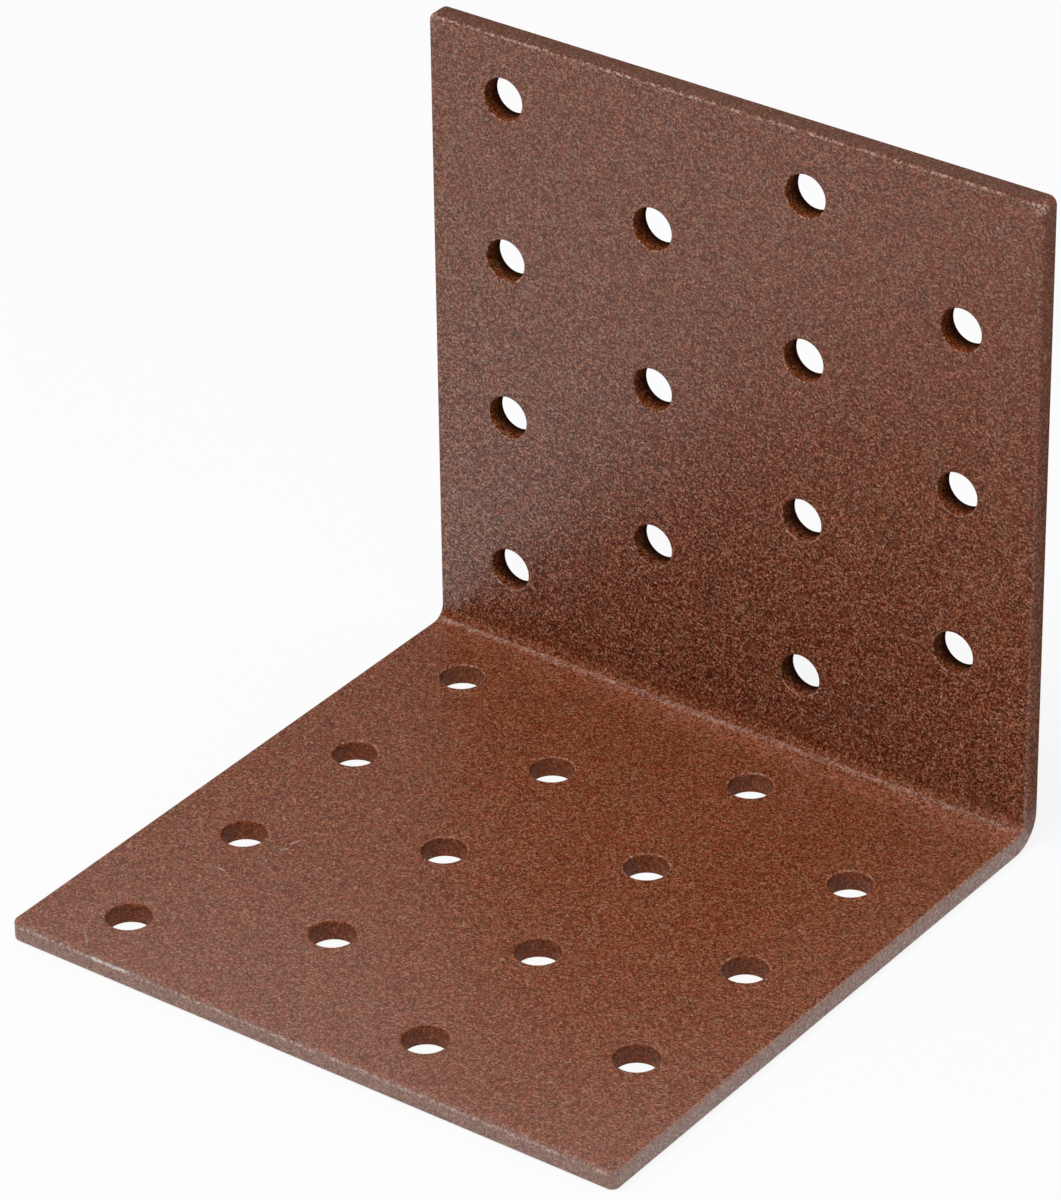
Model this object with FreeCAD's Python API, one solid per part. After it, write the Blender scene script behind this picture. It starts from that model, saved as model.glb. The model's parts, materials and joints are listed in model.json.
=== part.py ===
import FreeCAD, Part
import math
import os

# Angle bracket for timber and concrete: one perforated steel sheet, folded once
# at a right angle and coated all over. The two legs are alike.
# +X runs along the fold, +Y points at what the standing leg is screwed to, +Z is up.
# The origin is under the middle of the base leg. All sizes are in millimetres.

# Folded sheet, measured over the outside
WIDTH = 80.0
LEG = 80.0
SHEET = 2.5
INSIDE_RADIUS = 1.6
NEUTRAL_LAYER = 0.42    # place of the unstretched layer in the bend, as a share of the sheet

# Punched holes, set out on the flat blank from the bend line
HOLE_DIAMETER = 5.0
PITCH = 20.0
COLUMNS = 4
HOLES_IN_COLUMN = (4, 3)    # the columns take turns, so that the rows are staggered

# Roundings left by shearing, punching and the coat
CORNER_RADIUS = 1.0    # corners of the blank
EDGE_ROUND = 0.4       # cut edges of the sheet
RIM_BEVEL = 0.3        # rims of the holes, on the inside faces that the punch enters

# Derived sizes
OUTSIDE_RADIUS = INSIDE_RADIUS + SHEET
BEND_ALLOWANCE = math.pi / 2 * (INSIDE_RADIUS + NEUTRAL_LAYER * SHEET)
BACK = LEG / 2         # plane of the standing leg's back face
FRONT = -LEG / 2       # free end of the base leg
TINY = 1e-6


def from_heel(flat):
    """Distance from the outside of the heel, for a distance from the bend line on the blank."""
    return flat - BEND_ALLOWANCE / 2 + OUTSIDE_RADIUS


def bend_arc(radius):
    """Quarter arc of the bend, from the base leg up to the standing leg."""
    centre_y = BACK - OUTSIDE_RADIUS
    points = []
    for angle in (-90, -45, 0):
        turn = math.radians(angle)
        y = centre_y + radius * math.cos(turn)
        z = OUTSIDE_RADIUS + radius * math.sin(turn)
        points.append(FreeCAD.Vector(-WIDTH / 2, y, z))
    return points


def straight(start, end):
    return Part.LineSegment(start, end).toShape()


def folded_sheet():
    """The bent section of the sheet, drawn out along the fold."""
    side = -WIDTH / 2
    outside = bend_arc(OUTSIDE_RADIUS)
    inside = bend_arc(INSIDE_RADIUS)
    toe_under = FreeCAD.Vector(side, FRONT, 0)
    toe_over = FreeCAD.Vector(side, FRONT, SHEET)
    top_back = FreeCAD.Vector(side, BACK, LEG)
    top_front = FreeCAD.Vector(side, BACK - SHEET, LEG)
    section = Part.Wire([
        straight(toe_under, outside[0]),
        Part.Arc(*outside).toShape(),
        straight(outside[2], top_back),
        straight(top_back, top_front),
        straight(top_front, inside[2]),
        Part.Arc(*reversed(inside)).toShape(),
        straight(inside[0], toe_over),
        straight(toe_over, toe_under),
    ])
    return Part.Face(section).extrude(FreeCAD.Vector(WIDTH, 0, 0))


def face_normal(face, point):
    u, v = face.Surface.parameter(point)
    return face.normalAt(u, v)


def sharp_edges(solid):
    """Edges where two faces meet at an angle, and not in a smooth run."""
    found = []
    for edge in solid.Edges:
        faces = solid.ancestorsOfType(edge, Part.Face)
        middle = edge.valueAt((edge.FirstParameter + edge.LastParameter) / 2)
        if len(faces) == 2 and face_normal(faces[0], middle).dot(face_normal(faces[1], middle)) < 0.5:
            found.append(edge)
    return found


def blank_corners(solid):
    """The four short edges across the sheet where a free end meets a side."""
    return [edge for edge in solid.Edges if abs(edge.Length - SHEET) < TINY]


def hole_places():
    """X and heel distance of each hole in one leg."""
    places = []
    for column in range(COLUMNS):
        x = (column - (COLUMNS - 1) / 2) * PITCH
        count = HOLES_IN_COLUMN[column % 2]
        first = PITCH / 2 if column % 2 == 0 else PITCH
        for row in range(count):
            places.append((x, from_heel(first + row * PITCH)))
    return places


def punches():
    """One plain round punch for each hole of both legs."""
    radius = HOLE_DIAMETER / 2
    reach = 3 * SHEET
    tools = []
    for x, heel in hole_places():
        under_base = FreeCAD.Vector(x, BACK - heel, -SHEET)
        behind_leg = FreeCAD.Vector(x, BACK + SHEET, heel)
        tools.append(Part.makeCylinder(radius, reach, under_base, FreeCAD.Vector(0, 0, 1)))
        tools.append(Part.makeCylinder(radius, reach, behind_leg, FreeCAD.Vector(0, -1, 0)))
    return tools


def entry_rims(solid):
    """Rims of the holes on the inside faces of the two legs."""
    rims = []
    for edge in sharp_edges(solid):
        centre = edge.Curve.Center
        if abs(centre.z - SHEET) < TINY or abs(centre.y - (BACK - SHEET)) < TINY:
            rims.append(edge)
    return rims


def bracket():
    body = folded_sheet()
    body = body.makeFillet(CORNER_RADIUS, blank_corners(body))
    body = body.makeFillet(EDGE_ROUND, sharp_edges(body))
    body = body.cut(punches())
    body = body.makeChamfer(RIM_BEVEL, entry_rims(body))
    return body.Solids[0]


os.makedirs("parts", exist_ok=True)
plate = bracket()
plate.exportStep("parts/angle_plate.step")
box = plate.optimalBoundingBox(False)
print("angle_plate valid", plate.isValid(), "faces", len(plate.Faces))
print("size", round(box.XLength, 3), round(box.YLength, 3), round(box.ZLength, 3))
print("volume mm3", round(plate.Volume, 1), "hole heel distances", [round(h, 3) for _, h in hole_places()[:7]])
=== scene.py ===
# %% [markdown]
# The object is an angle bracket: one steel sheet, punched with staggered screw holes,
# folded once and powder coated in a rust brown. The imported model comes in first, as a fixed
# frame. Everything below is placed from its box and from the screw patterns in its record,
# so that nothing has to be fitted by eye.

# %% Load the frame
import json
import math

import bmesh
import bpy
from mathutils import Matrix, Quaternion, Vector


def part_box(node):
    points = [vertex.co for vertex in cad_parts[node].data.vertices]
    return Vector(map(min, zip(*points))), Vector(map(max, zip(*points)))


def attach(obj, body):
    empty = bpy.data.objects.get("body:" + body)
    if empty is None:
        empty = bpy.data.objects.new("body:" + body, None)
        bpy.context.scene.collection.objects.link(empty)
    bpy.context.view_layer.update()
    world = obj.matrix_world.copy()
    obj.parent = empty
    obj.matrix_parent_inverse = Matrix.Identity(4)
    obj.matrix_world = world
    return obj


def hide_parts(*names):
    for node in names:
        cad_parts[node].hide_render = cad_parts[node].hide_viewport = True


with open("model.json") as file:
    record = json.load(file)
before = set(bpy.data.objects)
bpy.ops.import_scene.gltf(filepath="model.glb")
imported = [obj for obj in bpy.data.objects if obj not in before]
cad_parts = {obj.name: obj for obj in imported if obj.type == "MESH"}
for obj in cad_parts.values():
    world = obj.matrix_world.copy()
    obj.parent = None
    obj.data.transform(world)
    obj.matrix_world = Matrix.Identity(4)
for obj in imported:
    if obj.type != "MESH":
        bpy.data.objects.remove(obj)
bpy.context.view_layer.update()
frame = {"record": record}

MM = 0.001
low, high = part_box("angle_plate")
print("bracket box in mm", [round((b - a) / MM, 2) for a, b in zip(low, high)])

# %% [markdown]
# A folded sheet needs only a few sizes. Its width, its legs and the plane of its back come
# from the frame. The sheet, the bend and the small roundings are the sizes that the bracket
# was drawn with. The holes are read from the screw patterns, so each one is where a screw goes.

# %% Sizes of the folded sheet
width = high[0] - low[0]
leg = high[2] - low[2]
front = low[1]
back = high[1]
sheet = 2.5 * MM
inside_radius = 1.6 * MM
outside_radius = inside_radius + sheet
corner_radius = 1.0 * MM
edge_round = 0.4 * MM
entry_round = 0.3 * MM
exit_round = 0.12 * MM


def screw_holes(leg_name):
    """Sorted (x, distance from the heel) of each hole in one leg, and the holes' radius."""
    places = []
    radius = 0
    for mount in frame["record"]["mounts"]:
        if mount["kind"] == "bolt_pattern" and mount["name"].startswith(leg_name):
            x, y, z = mount["pos_m"]
            heel = z if leg_name == "back" else back - y
            across = mount["dims"]["spacing_x_mm"] * MM / 2
            along = mount["dims"].get("spacing_y_mm", 0) * MM / 2
            radius = mount["dims"]["hole_r_mm"] * MM
            for side in (-across, across):
                for step in sorted({-along, along}):
                    places.append((x + side, heel + step))
    return sorted(places), radius


base_holes, hole_radius = screw_holes("base")
standing_holes, hole_radius = screw_holes("back")
print("holes in the base leg", len(base_holes), "and in the standing leg", len(standing_holes))

# %% [markdown]
# The sheet is modelled the way it is made: flat first, then folded. A point of the flat sheet
# has an x along the fold, a p across it, and a depth under the inside face. Here p is the
# distance from the heel, negative on the base leg and positive on the standing leg. One
# function folds such a point, and every vertex goes through it.

# %% Fold the flat sheet
def fold(x, p, depth):
    """Place of a point of the flat sheet on the folded one."""
    if p <= -outside_radius:
        return Vector((x, back + p, sheet - depth))
    if p >= outside_radius:
        return Vector((x, back - sheet + depth, p))
    turn = (p / outside_radius - 1) * math.pi / 4
    radius = inside_radius + depth
    centre_y = back - outside_radius
    return Vector((x, centre_y + radius * math.cos(turn), outside_radius + radius * math.sin(turn)))


print("middle of the bend, inside", [round(c / MM, 2) for c in fold(0, 0, 0)])

# %% [markdown]
# A mesh with round holes is cleanest when each hole has a tile of its own: the tile's outer
# points go round a rectangle, and each has a partner on the rim. Cutting the holes out with a
# boolean would be quicker to write, but it leaves long thin faces that shade badly. Tiles in one
# column end half way between two holes, and neighbouring columns share the same points along
# their border, so that the tiles join without a gap. These helpers share out the points.

# %% Points along the tiles' borders
tile_step = 1.25 * MM
bend_steps = 14
face_x = width / 2 - edge_round
face_p = leg - edge_round
face_corner = corner_radius - edge_round


def spread(stops, step):
    """Points from the first stop to the last, through each stop and about one step apart."""
    points = [stops[0]]
    for start, end in zip(stops, stops[1:]):
        count = max(1, round((end - start) / step))
        points += [start + (end - start) * (i + 1) / count for i in range(count)]
    return points


def halfway(places):
    return [(a + b) / 2 for a, b in zip(places, places[1:])]


columns = sorted({round(x, 6) for x, heel in standing_holes})
rows = sorted({round(heel, 6) for x, heel in standing_holes})
x_stops = [-face_x, -face_x + face_corner] + halfway(columns) + [face_x - face_corner, face_x]
p_stops = [outside_radius] + rows[1:-1] + [face_p - face_corner, face_p]
x_points = spread(x_stops, tile_step)
p_points = spread(p_stops, tile_step)
bend_points = spread([-outside_radius, outside_radius], 2 * outside_radius / bend_steps)
print("columns at", [round(c / MM, 1) for c in columns], "rows at", [round(r / MM, 1) for r in rows])

# %% [markdown]
# Sheared and punched edges are never sharp: the tools leave a small radius, and the coat
# rounds it further. Each edge is therefore a strip, drawn by a profile that leaves one face
# in a quarter circle, runs down the wall, and comes back to the other face. The same profile
# serves the outline and the holes. Each vertex keeps its turn, which goes from 0 on the inside
# face over 1 on a wall to 2 on the outside face, and whether it belongs to a hole. The finish
# uses both later.

# %% Profile of the edges
arc_steps = 6


def edge_profile(first_round, last_round):
    """(distance towards the wall, depth, turn) from the inside face to the outside one."""
    profile = []
    for i in range(arc_steps + 1):
        angle = i / arc_steps * math.pi / 2
        depth = first_round * (1 - math.cos(angle))
        profile.append((first_round * math.sin(angle), depth, i / arc_steps))
    for i in range(arc_steps, -1, -1):
        angle = i / arc_steps * math.pi / 2
        reach = first_round - last_round * (1 - math.sin(angle))
        profile.append((reach, sheet - last_round * (1 - math.cos(angle)), 2 - i / arc_steps))
    return profile


print("points in an edge profile", len(edge_profile(edge_round, edge_round)))

# %% [markdown]
# A small class collects the mesh. Asked twice for the same place, it gives the same vertex, so
# tiles and strips that meet are joined without any merging afterwards.

# %% Collect vertices and faces
place_digits = 7


class SheetMesh:
    """Vertices of the flat sheet, each made once, and the faces between them."""

    def __init__(self):
        self.index = {}
        self.places = []
        self.turns = []
        self.in_hole = []
        self.faces = []

    def vertex(self, x, p, depth, turn, in_hole=0.0):
        key = tuple(round(value, place_digits) for value in (x, p, depth))
        if key not in self.index:
            self.index[key] = len(self.places)
            self.places.append(fold(x, p, depth))
            self.turns.append(turn)
            self.in_hole.append(in_hole)
        return self.index[key]

    def face_loop(self, points, depth):
        """Vertices on the inside face, at depth 0, or on the outside face."""
        return [self.vertex(x, p, depth, 2 * depth / sheet) for x, p in points]

    def strip(self, first, second):
        """Quads between two closed loops of as many vertices."""
        for i in range(len(first)):
            j = (i + 1) % len(first)
            self.faces.append((first[i], first[j], second[j], second[i]))

    def strips(self, loops):
        for first, second in zip(loops, loops[1:]):
            self.strip(first, second)


sheet_mesh = SheetMesh()
print("the mesh is empty:", len(sheet_mesh.faces), "faces")

# %% [markdown]
# The corners of the sheet are slightly rounded, so that they don't catch. The border of a tile
# runs along the shared points, and where it meets a corner of the sheet it follows that corner's
# arc. The outline needs the same arc later, together with the direction that points outwards, so
# one function gives both.

# %% Borders of the tiles
def corner_arc(x_side, p_side):
    """Points and outward directions round one corner of the face, from its side to its end."""
    points = []
    for i in range(arc_steps + 1):
        angle = i / arc_steps * math.pi / 2
        out_x = x_side * math.cos(angle)
        out_p = p_side * math.sin(angle)
        centre_x = x_side * (face_x - face_corner)
        centre_p = p_side * (face_p - face_corner)
        points.append((centre_x + face_corner * out_x, centre_p + face_corner * out_p, out_x, out_p))
    return points


def between(points, start, end):
    tiny = 0.001 * MM
    return [v for v in points if start - tiny <= v <= end + tiny]


def tile_border(x0, x1, near, far, side):
    """Closed loop of points round one tile, with the sheet's corner rounded where it has one."""
    xs = between(x_points, x0, x1)
    ps = [side * p for p in between(p_points, near, far)]
    loop = [(x, ps[0]) for x in xs[:-1]]
    loop += [(xs[-1], p) for p in ps[:-1]]
    loop += [(x, ps[-1]) for x in reversed(xs[1:])]
    loop += [(xs[0], p) for p in reversed(ps[1:])]
    rounded = []
    for x, p in loop:
        if abs(x) == face_x and abs(p) == face_p:
            arc = [point[:2] for point in corner_arc(math.copysign(1, x), side)[1:-1]]
            rounded += arc if x > 0 else arc[::-1]
        else:
            rounded.append((x, p))
    return rounded


print("points round a corner", len(corner_arc(1, 1)))

# %% [markdown]
# A punch draws the sheet in a little where it enters and leaves a sharper rim where it comes out.
# The inside faces are taken to be its entry side. Between the border of a tile and the rim the
# face is flat, so one ring of quads is enough. The rim and the wall follow the edge profile, with
# a loop of vertices for each of its points.

# %% Tiles with a hole each
def add_hole_tile(mesh, hole_x, hole_p, border):
    """Both faces of a tile, and the rolled rim and wall of its hole."""
    directions = [Vector((x - hole_x, p - hole_p)).normalized() for x, p in border]
    loops = []
    for reach, depth, turn in edge_profile(entry_round, exit_round):
        radius = hole_radius + entry_round - reach
        rim = [(hole_x + d.x * radius, hole_p + d.y * radius) for d in directions]
        loops.append([mesh.vertex(x, p, depth, turn, 1.0) for x, p in rim])
    mesh.strips([mesh.face_loop(border, 0)] + loops + [mesh.face_loop(border, sheet)])


def add_leg(mesh, holes, side):
    """All tiles of one leg: side is 1 for the standing leg and -1 for the base leg."""
    borders = [-face_x] + halfway(columns) + [face_x]
    for column, x0, x1 in zip(columns, borders, borders[1:]):
        heels = [heel for x, heel in holes if abs(x - column) < tile_step]
        ends = [outside_radius] + halfway(heels) + [face_p]
        for heel, near, far in zip(heels, ends, ends[1:]):
            add_hole_tile(mesh, column, side * heel, tile_border(x0, x1, near, far, side))


add_leg(sheet_mesh, standing_holes, 1)
add_leg(sheet_mesh, base_holes, -1)
print("both legs:", len(sheet_mesh.faces), "faces")

# %% [markdown]
# The bend is a plain grid between the legs, on the inside and on the outside. Last comes the
# strip round the whole outline: up one side, round the corners, along the free ends and down
# the other side. It closes the mesh.

# %% Bend and outline
def add_bend(mesh):
    for x0, x1 in zip(x_points, x_points[1:]):
        for p0, p1 in zip(bend_points, bend_points[1:]):
            square = [(x0, p0), (x1, p0), (x1, p1), (x0, p1)]
            for depth in (0, sheet):
                mesh.faces.append(tuple(mesh.face_loop(square, depth)))


def outline():
    """The sheet's face outline as one closed loop of points and outward directions."""
    straight_p = face_p - face_corner
    straight_x = face_x - face_corner
    whole_side = [-p for p in reversed(p_points)] + bend_points[1:-1] + p_points
    side = between(whole_side, -straight_p, straight_p)
    end = between(x_points, -straight_x, straight_x)
    loop = [(face_x, p, 1, 0) for p in side[:-1]]
    loop += corner_arc(1, 1)[:-1]
    loop += [(x, face_p, 0, 1) for x in reversed(end[1:])]
    loop += corner_arc(-1, 1)[:0:-1]
    loop += [(-face_x, p, -1, 0) for p in reversed(side[1:])]
    loop += corner_arc(-1, -1)[:-1]
    loop += [(x, -face_p, 0, -1) for x in end[:-1]]
    loop += corner_arc(1, -1)[:0:-1]
    return loop


def add_outline(mesh):
    loops = []
    for reach, depth, turn in edge_profile(edge_round, edge_round):
        rim = [(x + out_x * reach, p + out_p * reach) for x, p, out_x, out_p in outline()]
        loops.append([mesh.vertex(x, p, depth, turn) for x, p in rim])
    mesh.strips(loops)


add_bend(sheet_mesh)
add_outline(sheet_mesh)
print("whole sheet:", len(sheet_mesh.places), "vertices and", len(sheet_mesh.faces), "faces")

# %% [markdown]
# The points and faces now become one Blender object. It stands for the plain node of the
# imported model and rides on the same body. Weighted normals keep the large faces flat while the
# small roundings stay smooth.

# %% Make the bracket
large_faces_first = 100


def make_bracket():
    mesh = bpy.data.meshes.new("angle_bracket")
    mesh.from_pydata(sheet_mesh.places, [], sheet_mesh.faces)
    for name, values in (("edge_turn", sheet_mesh.turns), ("in_hole", sheet_mesh.in_hole)):
        mesh.attributes.new(name, "FLOAT", "POINT").data.foreach_set("value", values)
    work = bmesh.new()
    work.from_mesh(mesh)
    bmesh.ops.recalc_face_normals(work, faces=work.faces)
    work.to_mesh(mesh)
    work.free()
    mesh.shade_smooth()
    piece = bpy.data.objects.new("angle_bracket", mesh)
    bpy.context.scene.collection.objects.link(piece)
    piece.modifiers.new("flat_faces", "WEIGHTED_NORMAL").weight = large_faces_first
    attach(piece, "root")
    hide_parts("angle_plate")
    return piece


bracket = make_bracket()
print("bracket made of", len(bracket.data.polygons), "faces")

# %% [markdown]
# The finish is a powder coat with metallic-looking flakes. It could be a picture, but a pattern
# of numbers has no seams and no pixels, so it is built from shader nodes. Node trees are slow to
# write out by hand. Here a wire stands for one output of a node, and a sum on wires adds the
# Math nodes that work it out.

# %% Sums on wires
class Wire:
    """One output of a shader node. A sum with it adds a Math node to the same tree."""

    def __init__(self, tree, socket):
        self.tree = tree
        self.socket = socket

    def maths(self, operation, first, second):
        sockets = {"Value": first, "Value_001": second}
        return self.tree.add("ShaderNodeMath", {"operation": operation}, sockets)["Value"]

    def __add__(self, other):
        return self.maths("ADD", self, other)

    def __radd__(self, other):
        return self.maths("ADD", other, self)

    def __sub__(self, other):
        return self.maths("SUBTRACT", self, other)

    def __rsub__(self, other):
        return self.maths("SUBTRACT", other, self)

    def __mul__(self, other):
        return self.maths("MULTIPLY", self, other)

    def __rmul__(self, other):
        return self.maths("MULTIPLY", other, self)


print("a wire can be added to, taken from and multiplied")

# %% [markdown]
# Every other node comes from one method of a tree. It takes the node's type, its settings and
# the values or wires of its sockets, and gives back the node's outputs as wires. The settings go
# in first, because some of them decide which sockets are in use.

# %% A tree of nodes
class Tree:
    """A node tree, emptied first, with one method that adds nodes to it."""

    def __init__(self, owner):
        owner.use_nodes = True
        self.nodes = owner.node_tree.nodes
        self.links = owner.node_tree.links
        self.nodes.clear()

    def add(self, kind, settings, sockets):
        """Add a node, set it up, fill or link its sockets, and return its outputs as wires."""
        node = self.nodes.new(kind)
        for name, value in settings.items():
            if name == "stops":
                self.set_stops(node.color_ramp, value)
            else:
                setattr(node, name, value)
        inputs = {socket.identifier: socket for socket in node.inputs}
        for name, value in sockets.items():
            if isinstance(value, Wire):
                self.links.new(value.socket, inputs[name])
            elif inputs[name].type == "RGBA":
                inputs[name].default_value = (*value, 1)
            else:
                inputs[name].default_value = value
        return {socket.identifier: Wire(self, socket) for socket in node.outputs}

    def set_stops(self, ramp, stops):
        """Give a colour ramp its stops, each a place and a colour."""
        while len(ramp.elements) < len(stops):
            ramp.elements.new(0.5)
        for element, (place, colour) in zip(ramp.elements, stops):
            element.position = place
            element.color = (*colour, 1)


print("a tree adds any node by its type")

# %% [markdown]
# Most of the finish is said with masks: values that are 1 where something applies, 0 where it
# doesn't, and smooth in between. A mask then decides how much of a second colour is mixed in.
# Colours go through Mix nodes, because a Math node would turn them grey.

# %% Masks and mixed colours
def rise(value, start, end):
    """A mask that climbs smoothly from 0 at start to 1 at end."""
    sockets = {"Value": value, "From Min": start, "From Max": end}
    return value.tree.add("ShaderNodeMapRange", {"interpolation_type": "SMOOTHSTEP"}, sockets)["Result"]


def band(value, start, full_start, full_end, end):
    """A mask that is 1 between two values and fades to 0 outside them."""
    return rise(value, start, full_start) * rise(value, end, full_end)


def larger(first, second):
    return first.maths("MAXIMUM", first, second)


def mix(mask, first, second):
    """The first colour, with the second mixed in by a mask."""
    sockets = {"Factor_Float": mask, "A_Color": first, "B_Color": second}
    return mask.tree.add("ShaderNodeMix", {"data_type": "RGBA"}, sockets)["Result_Color"]


def tinted(colour, tint):
    """A colour multiplied by another."""
    settings = {"data_type": "RGBA", "blend_type": "MULTIPLY"}
    sockets = {"Factor_Float": 1.0, "A_Color": colour, "B_Color": tint}
    return colour.tree.add("ShaderNodeMix", settings, sockets)["Result_Color"]


print("masks come as a rise or a band")

# %% [markdown]
# Chance comes in two kinds. Noise gives soft patches without edges. A mosaic gives crisp cells,
# each with a random colour of its own, and one channel of that colour serves as a random value
# for the cell. Both are worked out in the bracket's own space, so they stay the same in every run.

# %% Patches and mosaics
def noise(place, size):
    """Soft random values around one half, with patches of about the given size."""
    sockets = {"Vector": place, "Scale": 1 / size, "Detail": 1.0}
    return place.tree.add("ShaderNodeTexNoise", {}, sockets)["Fac"]


def cells(place, size):
    """A mosaic, with the distance from the middle of each cell and the cell's random colour."""
    return place.tree.add("ShaderNodeTexVoronoi", {}, {"Vector": place, "Scale": 1 / size})


def chance(mosaic):
    """One random value, from 0 to 1, for each cell of a mosaic."""
    colour = mosaic["Color"]
    return colour.tree.add("ShaderNodeSeparateColor", {}, {"Color": colour})["Red"]


print("chance comes as soft patches or as crisp cells")

# %% [markdown]
# Wear, thin spray, and the painted light and shade all follow the shape of the bracket, so the finish
# has
# to know where it is: on which leg, on a face or on a cut wall, on the outline or in a hole. The mesh
# brings two of these facts along, the turn of each edge and whether it belongs to a hole. The others
# follow from the place. Painting them by hand would do too, but masks keep fitting if a size changes.

# %% Where on the bracket
wall_turn = (0.1, 0.7, 1.3, 1.9)
side_wall = (width / 2 - corner_radius, width / 2 - edge_round)
base_leg = (outside_radius + sheet, outside_radius - sheet / 2)
front_end = (front + 0.5 * MM, front + 0.2 * MM)
standing_face = (back - sheet + 0.3 * MM, back - sheet + 0.1 * MM)
base_face = (sheet - 0.2 * MM, sheet - 0.1 * MM)
sparkle_size = 0.25 * MM


class Where:
    """Masks for the parts of the bracket, each a wire that goes from 0 to 1."""

    def __init__(self, place):
        self.place = place
        axes = self.node("ShaderNodeSeparateXYZ", {}, {"Vector": place})
        self.x = axes["X"]
        self.y = axes["Y"]
        self.z = axes["Z"]
        self.turn = self.node("ShaderNodeAttribute", {"attribute_name": "edge_turn"}, {})["Fac"]
        self.in_hole = self.node("ShaderNodeAttribute", {"attribute_name": "in_hole"}, {})["Fac"]
        across = self.node("ShaderNodeMath", {"operation": "ABSOLUTE"}, {"Value": self.x})["Value"]
        self.on_side = rise(across, *side_wall)
        self.on_base = rise(self.z, *base_leg)
        self.on_front_end = rise(self.y, *front_end)
        self.on_standing_face = rise(self.y, *standing_face)
        self.above_base = rise(self.z, *base_face)
        self.deep = rise(self.y, back - sheet, back)
        wall = band(self.turn, *wall_turn)
        self.hole_wall = wall * self.in_hole
        cut_edge = wall * (1 - self.in_hole)
        self.base_edge = cut_edge * self.on_base
        self.standing_edge = cut_edge * (1 - self.on_base)
        self.sparkle = chance(cells(place, sparkle_size))

    def node(self, kind, settings, sockets):
        return self.place.tree.add(kind, settings, sockets)


print("walls are masked over turns of", wall_turn[1], "to", wall_turn[2])

# %% [markdown]
# Up close the coat is a mosaic of grains about a fifth of a millimetre wide, from nearly black
# through rust brown to a pale orange, with a bright speck here and there. Hardly any of this is
# left at arm's length, where the eye mixes the grains to one brown. Two mosaics of different size
# give the grain its crisp look, and a colour ramp turns their sum into the colours of the coat.
# Soft patches of about a millimetre tint the grain, some redder and some greyer. Towards the foot of
# the standing leg the grain is painted with more contrast and brighter specks: painted light and
# painted highlights that stand in for the lamp raking over the flakes there.

# %% Colours of the coat
grain_size = 0.20 * MM
dust_size = 0.13 * MM
patch_size = 1.0 * MM
speck_size = 0.8 * MM
middle_tone = 0.5
grain_share = 0.40
dust_share = 0.34
foot_height = (3.5 * MM, 6.0 * MM, 8.0 * MM, 70.0 * MM)
base_height = (5.0 * MM, 3.0 * MM)
raking_light_contrast = 0.62
base_contrast = 0.08
coat_stops = [
    (0.0, (0.032, 0.004, 0.001)),
    (0.3, (0.101, 0.013, 0.003)),
    (0.5, (0.195, 0.046, 0.009)),
    (0.7, (0.310, 0.107, 0.046)),
    (1.0, (0.503, 0.224, 0.143)),
]
red_tint = (1.06, 0.91, 0.85)
grey_tint = (0.94, 1.09, 1.15)
patch_range = (0.3, 0.7)
bright_speck = (0.720, 0.380, 0.240)
speck_edge = (0.16, 0.08)
speck_chance = (0.65, 0.85)
speck_strength = 0.5
raking_light_specks = 0.5


def coat_colour(at):
    """Colour of the coat, and the tone of its grain from about 0 to 1."""
    darkest = middle_tone - (grain_share + dust_share) / 2
    tone = darkest + chance(cells(at.place, grain_size)) * grain_share
    tone = tone + chance(cells(at.place, dust_size)) * dust_share
    foot = band(at.z, *foot_height)
    # Painted light: extra grain contrast at the foot of the standing leg, for the lamp raking over it.
    contrast = foot * raking_light_contrast + rise(at.z, *base_height) * base_contrast
    tone = tone + (tone - middle_tone) * contrast
    colour = tone.tree.add("ShaderNodeValToRGB", {"stops": coat_stops}, {"Fac": tone})["Color"]
    patches = rise(noise(at.place, patch_size), *patch_range)
    colour = tinted(colour, mix(patches, grey_tint, red_tint))
    specks = cells(at.place, speck_size)
    bright = rise(specks["Distance"], *speck_edge) * rise(chance(specks), *speck_chance)
    # Painted highlights: brighter specks at the foot of the standing leg.
    bright = bright * (speck_strength + foot * raking_light_specks)
    return mix(bright, colour, bright_speck), tone


print("grains of", round(grain_size / MM, 2), "mm in patches of", round(patch_size / MM, 2), "mm")

# %% [markdown]
# The pigment is full of tiny flakes, and each one lies at a slightly different angle. Light that
# rakes over them brightens one flake and leaves its neighbour dark, which is what makes the coat
# look rough and still crisp. A bump map would round the flakes off, so a mosaic gives each flake
# a random colour instead, and that is taken as a push on the normal of the face.

# %% Flakes in the coat
flake_size = 0.18 * MM
flake_tip = 1.2
middle_colour = Vector((0.5, 0.5, 0.5))


def vector_maths(operation, first, second):
    """Vector maths on two vectors. The node gives a vector and a value."""
    sockets = {"Vector": first, "Vector_001": second}
    return first.tree.add("ShaderNodeVectorMath", {"operation": operation}, sockets)


def scaled(vector, factor):
    """A vector times a number. At least one of them is a wire."""
    wire = vector if isinstance(vector, Wire) else factor
    sockets = {"Vector": vector, "Scale": factor}
    return wire.tree.add("ShaderNodeVectorMath", {"operation": "SCALE"}, sockets)["Vector"]


def flake_normal(place):
    """Normal of the face, tipped at random in each flake."""
    face = place.tree.add("ShaderNodeNewGeometry", {}, {})["Normal"]
    flake = cells(place, flake_size)["Color"]
    lean = vector_maths("SUBTRACT", flake, middle_colour)["Vector"]
    tipped = vector_maths("ADD", face, scaled(lean, flake_tip))["Vector"]
    settings = {"operation": "NORMALIZE"}
    return place.tree.add("ShaderNodeVectorMath", settings, {"Vector": tipped})["Vector"]


print("flakes of", round(flake_size / MM, 2), "mm, tipped by up to", flake_tip / 2)
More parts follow.
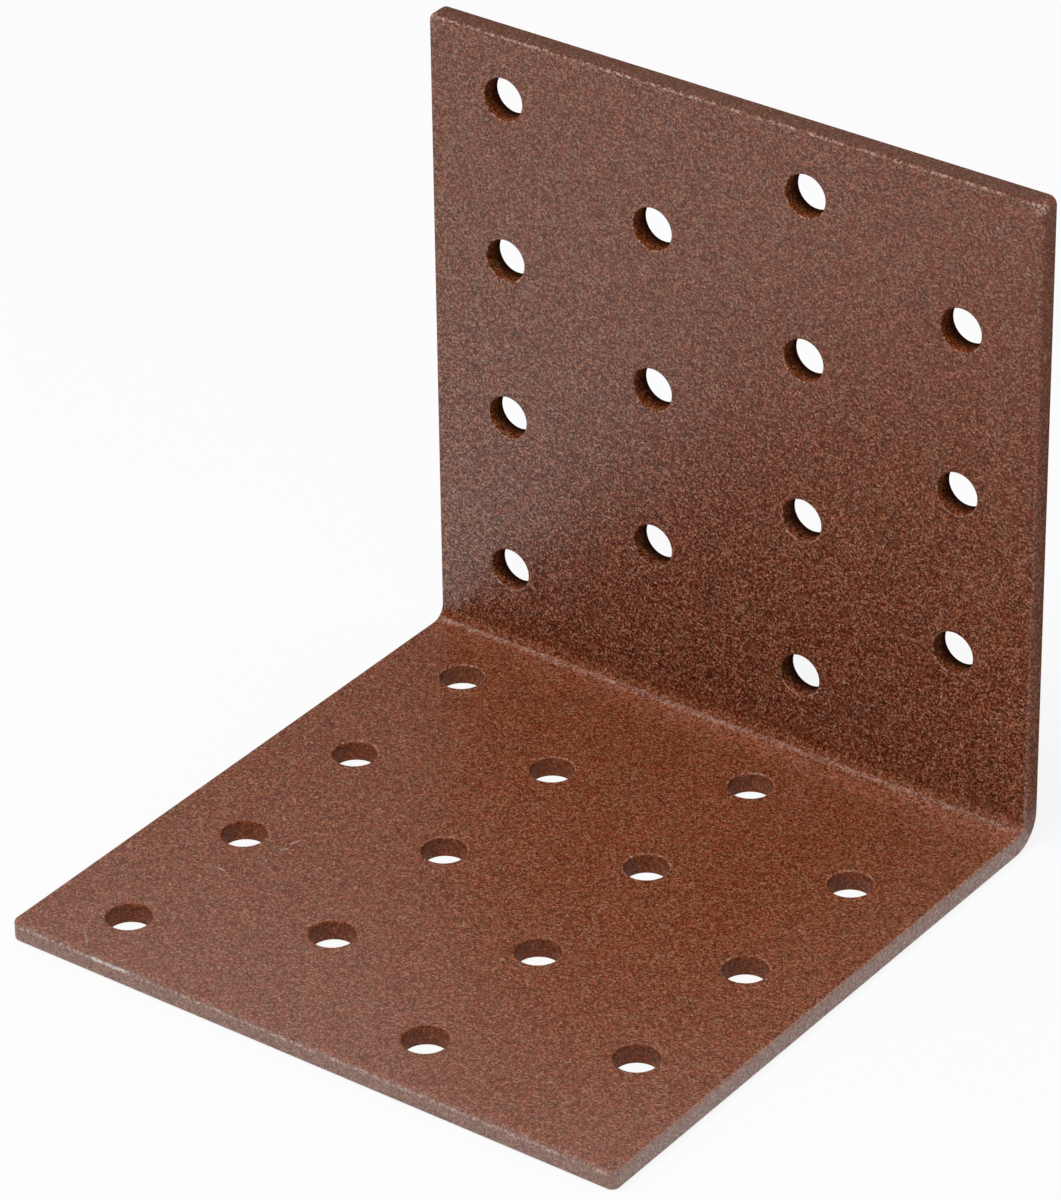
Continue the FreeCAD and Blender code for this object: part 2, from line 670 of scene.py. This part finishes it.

# %% [markdown]
# A pale veil is painted on the base leg, towards its free end and along its right side: a painted
# reflection of the white room in the satin coat. Beside the fold the grain is painted brighter and
# redder,
# and more so to the right: painted light. Both are mixed into the colour by soft masks, and the second
# is broken up by the random value of each cell.

# %% Painted veil and painted light by the fold
painted_veil = (0.750, 0.600, 0.550)
front_veil = 0.037
side_veil = 0.02
veil_front_run = (0, front - 5 * MM)
veil_side_run = (width / 2 - 18 * MM, width / 2)
fold_light = (0.530, 0.200, 0.130)
fold_glow = (back - 9.0 * MM, back - 4.0 * MM, back - 3.9 * MM, back - 3.3 * MM)
glow_side = (-width, width / 4)
glow_cells = (0.4, 0.9)
glow_strength = 0.6


def shade_faces(at, colour):
    """Colour with a painted veil of reflection on the base leg and painted light beside the fold."""
    # Painted reflection: a pale veil towards the free end and along the right side of the base leg.
    veil_amount = rise(at.y, *veil_front_run) * front_veil
    veil_amount = veil_amount + rise(at.x, *veil_side_run) * at.on_base * side_veil
    colour = mix(veil_amount, colour, painted_veil)
    # Painted light: the grain beside the fold brighter and redder, more so to the right.
    glow = band(at.y, *fold_glow) * at.above_base * rise(at.x, *glow_side)
    glow = glow * rise(at.sparkle, *glow_cells) * glow_strength
    return mix(glow, colour, fold_light)


print("glow starts", round((back - outside_radius - fold_glow[0]) / MM, 1), "mm before the bend")

# %% [markdown]
# The cut edges and the hole walls get colours of their own. The edges of the base leg are painted paler
# and greyer, a painted reflection of the white floor and room. The top of the standing leg is darker.
# Its sides get a little painted sheen, and painted shade that grows towards the back. In the base leg
# the walls of the holes are redder and a little blotchy, and in the standing leg they carry painted
# shade, nearly black far inside. Each of these is one more colour, mixed in where its masks say.

# %% Edges and hole walls
painted_edge_sheen = (0.400, 0.250, 0.210)
dark_edge = (0.090, 0.030, 0.014)
hole_red = (0.360, 0.090, 0.030)
hole_shade = (0.020, 0.006, 0.003)
blotch_size = 0.4 * MM
blotch_range = (0.45, 0.62)
edge_sheen = 0.2
side_sheen = 0.2
sparkle_sheen = 0.35
wall_redness = 0.3
blotch_darkness = 0.3
standing_sheen = 0.15
top_darkness = 0.8
painted_side_shade = 0.25
painted_wall_shade = 0.2
painted_deep_shade = 0.78


def shade_base_edges(at, colour):
    """Colour with painted sheen on the cut edges of the base leg, and its hole walls redder and
    blotchy.
    """
    # Painted reflection: the base leg's cut edges paler and greyer, where they would mirror the white
    # floor.
    pale = edge_sheen + side_sheen * at.on_side + sparkle_sheen * at.sparkle
    colour = mix(at.base_edge * pale, colour, painted_edge_sheen)
    wall = at.hole_wall * at.on_base
    blotches = rise(noise(at.place, blotch_size), *blotch_range)
    colour = mix(wall * wall_redness, colour, hole_red)
    return mix(wall * blotches * blotch_darkness, colour, hole_shade)


def shade_standing_edges(at, colour):
    """Colour with the standing leg's edges and hole walls: painted sheen and shade on the sides, a
    darker top, and painted shade in the holes.
    """
    side = at.standing_edge * at.on_side
    top = at.standing_edge * (1 - at.on_side)
    wall = at.hole_wall * (1 - at.on_base)
    # Painted reflection: the sides of the standing leg a little paler.
    colour = mix(side * standing_sheen, colour, painted_edge_sheen)
    # The top of the standing leg is darker; on its sides, painted shade grows towards the back.
    colour = mix(top * top_darkness + side * at.deep * painted_side_shade, colour, dark_edge)
    # Painted shade: the walls of the standing leg's holes darker the deeper they go.
    return mix(wall * (painted_wall_shade + painted_deep_shade * at.deep), colour, hole_shade)


print("hole walls with blotches of", round(blotch_size / MM, 2), "mm")

# %% [markdown]
# Along the two free ends the coat is rubbed where hands and other brackets touch it, and the pale line
# there is also a painted highlight on the rounded edge. Along the fold and on the rims of the holes
# that are not far from the fold, the pale line is a painted highlight only. A line has no thickness, so
# it isn't modelled. It is a narrow band of colour, broken up by the random value of each cell, and it
# sparkles. One
# stretch of the front edge is near white: rubbed bare, and a painted highlight as well.

# %% Rubbed lines and painted highlights
rub_and_highlight_coat = (0.620, 0.420, 0.350)
bare_and_glint_coat = (0.850, 0.780, 0.750)
front_line = (sheet - 0.8 * MM, sheet - 0.6 * MM, sheet - 0.4 * MM, sheet - 0.2 * MM)
top_line = (leg - 0.65 * MM, leg - 0.5 * MM, leg - 0.3 * MM, leg - 0.15 * MM)
bend_line = (back - 3.9 * MM, back - 3.5 * MM, back - 3.2 * MM, back - 3.05 * MM)
bend_highlight = 0.4
rim_turn = (0.1, 0.25, 0.45, 0.7)
rim_run = (-14 * MM, 8 * MM)
rim_highlight = 0.6
line_cells = (0.45, 1.0)
line_everywhere = 0.05
line_in_cells = 0.85
bare_and_glint_stretch = (-29.6 * MM, -28.4 * MM, -24.4 * MM, -23.2 * MM)
bare_glint_everywhere = 0.3
bare_glint_in_cells = 0.7


def shade_rubs_and_highlights(at, colour):
    """Colour with lines along the free ends, rubbed and painted highlight, and painted highlights by
    the fold and on the hole rims.
    """
    # Rubbed coat and painted highlight: pale lines along the front and top free ends.
    front_rub_and_glint = band(at.z, *front_line) * at.on_front_end
    line = front_rub_and_glint + band(at.z, *top_line) * at.on_standing_face
    # Painted highlight: a pale line along the inside of the fold.
    line = line + band(at.y, *bend_line) * at.above_base * bend_highlight
    # Painted highlight: pale arcs on the rims of the holes near the fold.
    line = line + band(at.turn, *rim_turn) * at.in_hole * rise(at.y, *rim_run) * rim_highlight
    broken = line_everywhere + line_in_cells * rise(at.sparkle, *line_cells)
    colour = mix(line * (1 - at.on_side) * broken, colour, rub_and_highlight_coat)
    bare_and_glint = bare_glint_everywhere + bare_glint_in_cells * at.sparkle
    # Rubbed bare and painted highlight: a near-white stretch of the front edge.
    return mix(front_rub_and_glint * band(at.x, *bare_and_glint_stretch) * bare_and_glint, colour, bare_and_glint_coat)


print("bare stretch of", round((bare_and_glint_stretch[2] - bare_and_glint_stretch[1]) / MM, 1), "mm")

# %% [markdown]
# Handling has left a few short pale scratches on the left of the base leg. Each one is a line
# between two points, in millimetres, and the finish is paler where the distance to that line is
# small. Four spots of the standing leg are worn too: both top corners, one low on the right, and
# one on the right edge. There the distance to a point does the same, and noise frays the rim.

# %% Marks on the coat
scratches = [
    ((-24.5, -10.8), (-24.1, -9.7), 0.8),
    ((-24.6, -12.4), (-24.2, -11.7), 0.8),
    ((-28.1, -19.1), (-27.1, -19.1), 0.8),
    ((-32.0, -37.1), (-30.2, -38.9), 0.3),
]
scratch_width = 0.16 * MM
worn_spots = [
    ((-39.5, 37.6, 79.6), 0.9),
    ((39.5, 37.6, 79.3), 1.2),
    ((37.4, 37.5, 12.8), 0.4),
    ((40.0, 38.6, 61.6), 0.8),
]
fray_size = 0.3 * MM
fray_range = (0.4, 0.6)
worn_strength = 0.9
scratched_coat = (0.600, 0.420, 0.350)


def scratch_gap(place, start, end):
    """Distance from a scratch on the base leg."""
    first = Vector((*start, sheet / MM)) * MM
    run = Vector((*end, sheet / MM)) * MM - first
    from_start = vector_maths("SUBTRACT", place, first)["Vector"]
    share = vector_maths("DOT_PRODUCT", from_start, run / run.length_squared)["Value"]
    share = place.tree.add("ShaderNodeClamp", {}, {"Value": share})["Result"]
    return vector_maths("DISTANCE", from_start, scaled(run, share))["Value"]


def shade_marks(at, colour):
    """Colour with scratches on the base leg and worn spots on the standing leg."""
    for start, end, strength in scratches:
        gap = scratch_gap(at.place, start, end)
        colour = mix(rise(gap, scratch_width, 0) * strength, colour, scratched_coat)
    for spot, size in worn_spots:
        gap = vector_maths("DISTANCE", at.place, Vector(spot) * MM)["Value"]
        worn = rise(gap, size * MM, 0) * rise(noise(at.place, fray_size), *fray_range)
        colour = mix(worn * worn_strength, colour, scratched_coat)
    return colour


print(len(scratches), "scratches and", len(worn_spots), "worn spots")

# %% [markdown]
# A thin clear layer lies over the coat, but not evenly. It is thinner on the cut edges, in the
# holes and in the bend, which therefore look dull. The spray also came on dry in the holes, where
# no flake shines, and partly on the sides of the standing leg. Both could be painted into the
# colour, but dullness changes with the view and the light, so it is set where the shine is made.

# %% Dull and dry places
bend_shade = (sheet + 0.3 * MM, sheet + 0.5 * MM, sheet + 1.1 * MM, sheet + 2.5 * MM)
base_dullness = 0.1
standing_dullness = 0.6
side_dullness = 0.2
base_hole_shine = 0.3
bend_dullness = 0.6
side_dryness = 0.6


def dull_and_dry(at):
    """Where the clear layer is thin, and where the shiny flakes are missing."""
    more_on_side = side_dullness * at.on_side
    dull = at.base_edge * (base_dullness + more_on_side)
    dull = dull + at.standing_edge * (standing_dullness + more_on_side)
    dull = dull + at.hole_wall * (1 - base_hole_shine * at.on_base)
    inner_bend = band(at.z, *bend_shade) * (1 - at.deep)
    dry = at.hole_wall + at.standing_edge * at.on_side * side_dryness
    return larger(dull, inner_bend * bend_dullness), dry


print("the bend is dull up to", round(bend_shade[3] / MM, 1), "mm")

# %% [markdown]
# Two kinds of grain make up the coat. The dark ones are matt, and the pale ones are flakes that
# shine. Over both lies the clear layer, which gives the veil of white where the coat mirrors the
# floor or the room. One shader with a rougher and a smoother patchwork would put haze on the dark
# grains too, so each kind is a shader of its own, and the tone of the grain decides between them.

# %% Coat the bracket
clear_layer = {"Coat Roughness": 0.36, "Coat IOR": 1.53}
matt_finish = {"Roughness": 1.0, "Specular IOR Level": 0.0}
shiny_finish = {"Roughness": 0.25, "Specular IOR Level": 0.5}
shiny_tones = (0.4, 0.75)
shades = (shade_faces, shade_base_edges, shade_standing_edges, shade_rubs_and_highlights, shade_marks)


def coat_bracket():
    material = bpy.data.materials.new("brown_coat")
    tree = Tree(material)
    at = Where(tree.add("ShaderNodeTexCoord", {}, {})["Object"])
    colour, tone = coat_colour(at)
    for shade in shades:
        colour = shade(at, colour)
    dull, dry = dull_and_dry(at)
    paint = {"Base Color": colour, "Normal": flake_normal(at.place), "Coat Weight": 1 - dull}
    paint.update(clear_layer)
    matt_grain = tree.add("ShaderNodeBsdfPrincipled", {}, {**paint, **matt_finish})["BSDF"]
    shiny_grain = tree.add("ShaderNodeBsdfPrincipled", {}, {**paint, **shiny_finish})["BSDF"]
    shine = rise(tone, *shiny_tones) * (1 - dry)
    blend = {"Fac": shine, "Shader": matt_grain, "Shader_001": shiny_grain}
    shader = tree.add("ShaderNodeMixShader", {}, blend)["Shader"]
    tree.add("ShaderNodeOutputMaterial", {}, {"Surface": shader})
    return material


bracket.data.materials.append(coat_bracket())
print("coat put on", bracket.name)

# %% [markdown]
# The studio is plain: a white floor, soft light from all round and one large lamp above. A real
# floor would need lamps of its own to come out white. This one glows for the camera and in
# reflections, and stays a plain matt white for the light that falls on the bracket, so that
# colours come out about as written.

# %% Floor
floor_size = 3.0
floor_drop = 0.02 * MM
floor_glow = 0.88
floor_white = (0.8, 0.8, 0.8)
white = (1, 1, 1)


def seen_directly(tree):
    """1 for a ray from the camera or off a glossy or clear surface, 0 for diffuse light."""
    path = tree.add("ShaderNodeLightPath", {}, {})
    not_diffuse = larger(path["Is Glossy Ray"], path["Is Transmission Ray"])
    return larger(path["Is Camera Ray"], not_diffuse)


def floor_material():
    material = bpy.data.materials.new("white_floor")
    tree = Tree(material)
    matt = tree.add("ShaderNodeBsdfDiffuse", {}, {"Color": floor_white})["BSDF"]
    glow = tree.add("ShaderNodeEmission", {}, {"Color": white})["Emission"]
    blend = {"Fac": seen_directly(tree) * floor_glow, "Shader": matt, "Shader_001": glow}
    shader = tree.add("ShaderNodeMixShader", {}, blend)["Shader"]
    tree.add("ShaderNodeOutputMaterial", {}, {"Surface": shader})
    return material


def make_floor():
    mesh = bpy.data.meshes.new("floor")
    half = floor_size / 2
    corners = [(-half, -half), (half, -half), (half, half), (-half, half)]
    mesh.from_pydata([(x, y, -floor_drop) for x, y in corners], [], [(0, 1, 2, 3)])
    mesh.materials.append(floor_material())
    floor = bpy.data.objects.new("floor", mesh)
    bpy.context.scene.collection.objects.link(floor)


make_floor()
print("floor", floor_size, "m wide")

# %% [markdown]
# The room is a white tent all round the set. Walls could be modelled, but a bare background does
# the same and costs no time. Like the floor, it is fully white where it is seen, and lights the
# bracket at a lower level.

# %% Room
room_light = 0.44


def make_room():
    world = bpy.data.worlds.new("white_room")
    bpy.context.scene.world = world
    tree = Tree(world)
    strength = room_light + seen_directly(tree) * (1 - room_light)
    sky = tree.add("ShaderNodeBackground", {}, {"Color": white, "Strength": strength})["Background"]
    tree.add("ShaderNodeOutputWorld", {}, {"Surface": sky})


make_room()
print("room light", room_light)

# %% [markdown]
# A coat this satin picks up a veil of white from a bright room and floor. Photographers keep it
# off with dark card. Two cards stand beside the set and one lies behind the bracket, all of them
# seen only in reflections. The front one ends the bright line in the bend, the back one keeps the
# veil off the base leg except towards its free end, and the lying one keeps it off the bracket's
# back.

# %% Dark cards
card_grey = (0.06, 0.06, 0.06)
card_distance = 0.28
upright_cards = [
    ("front_card", math.radians(-42), 0.22, 0.40),
    ("back_card", math.radians(-144), 0.36, 0.187),
]
lying_near = back + 1 * MM
lying_far = 0.16
lying_width = 0.40


def towards(azimuth, elevation):
    """Direction away from the bracket, with azimuth 0 in front and growing to the right."""
    level = math.cos(elevation)
    return Vector((math.sin(azimuth) * level, -math.cos(azimuth) * level, math.sin(elevation)))


def upright(azimuth, card_width, height):
    """Corners of a card that stands beside the set and faces the bracket."""
    foot = towards(azimuth, 0) * card_distance
    half = towards(azimuth + math.pi / 2, 0) * card_width / 2
    up = Vector((0, 0, height))
    return [foot - half, foot + half, foot + half + up, foot - half + up]


def lying(near, far, card_width):
    """Corners of a card that lies on the floor behind the bracket."""
    half = card_width / 2
    corners = [(-half, near), (half, near), (half, far), (-half, far)]
    return [Vector((x, y, 0)) for x, y in corners]


def card_material():
    material = bpy.data.materials.new("dark_card")
    tree = Tree(material)
    matt = tree.add("ShaderNodeBsdfDiffuse", {}, {"Color": card_grey})["BSDF"]
    tree.add("ShaderNodeOutputMaterial", {}, {"Surface": matt})
    return material


def make_card(name, corners, material):
    """A card that only reflections show."""
    mesh = bpy.data.meshes.new(name)
    mesh.from_pydata(corners, [], [(0, 1, 2, 3)])
    mesh.materials.append(material)
    card = bpy.data.objects.new(name, mesh)
    for ray in ("camera", "diffuse", "shadow", "transmission"):
        setattr(card, "visible_" + ray, False)
    bpy.context.scene.collection.objects.link(card)


dark_card = card_material()
for name, *sizes in upright_cards:
    make_card(name, upright(*sizes), dark_card)
make_card("floor_card", lying(lying_near, lying_far, lying_width), dark_card)
print(len(upright_cards), "upright cards at", card_distance, "m and one lying behind")

# %% [markdown]
# The lamp hangs above the front of the bracket. It rakes down the standing leg, which brings
# out the grain there, and lights the base leg more fully. Reflections don't show it, because the
# coat would mirror it as a bright haze.

# %% Lamp
middle = Vector((0, 0, leg / 2))
lamp_azimuth = math.radians(-15)
lamp_elevation = math.radians(72)
lamp_distance = 0.7
lamp_size = 0.35
lamp_power = 3.6


def make_lamp():
    light = bpy.data.lights.new("softbox", "AREA")
    light.shape = "DISK"
    light.size = lamp_size
    light.energy = lamp_power
    lamp = bpy.data.objects.new("softbox", light)
    away = towards(lamp_azimuth, lamp_elevation)
    lamp.location = middle + away * lamp_distance
    lamp.rotation_euler = (-away).to_track_quat("-Z", "Y").to_euler()
    lamp.visible_camera = False
    lamp.visible_glossy = False
    bpy.context.scene.collection.objects.link(lamp)
    return lamp


lamp = make_lamp()
print("lamp of", lamp_power, "W at", [round(c, 3) for c in lamp.location])

# %% [markdown]
# The photograph is taken with a long lens from the front right and from above. The camera is
# set by the point that it looks at, the way it looks, its distance and a slight roll, found by
# laying the bracket's holes and corners over the photograph.

# %% Camera
image_width, image_height = 1061, 1200
focal_pixels = 6478
sensor_width = 36
nearest_seen = 0.01
view_azimuth = math.radians(36.59)
view_elevation = math.radians(31.07)
view_roll = math.radians(-0.79)
view_distance = 686.8 * MM
view_aim = Vector((0.75, -0.06, 37.17)) * MM


def make_camera():
    data = bpy.data.cameras.new("camera")
    data.sensor_width = sensor_width
    data.lens = focal_pixels / max(image_width, image_height) * sensor_width
    data.clip_start = nearest_seen
    camera = bpy.data.objects.new("camera", data)
    away = towards(view_azimuth, view_elevation)
    camera.location = view_aim + away * view_distance
    roll = Quaternion((0, 0, 1), view_roll)
    camera.rotation_euler = (away.to_track_quat("Z", "Y") @ roll).to_euler()
    bpy.context.scene.collection.objects.link(camera)
    bpy.context.scene.camera = camera
    return camera


camera = make_camera()
print("camera lens", round(camera.data.lens, 1), "mm at", [round(c, 4) for c in camera.location])

# %% [markdown]
# Colours are shown as they are, with no film look.

# %% Finish
bpy.context.scene.view_settings.view_transform = "Standard"
bpy.context.view_layer.update()
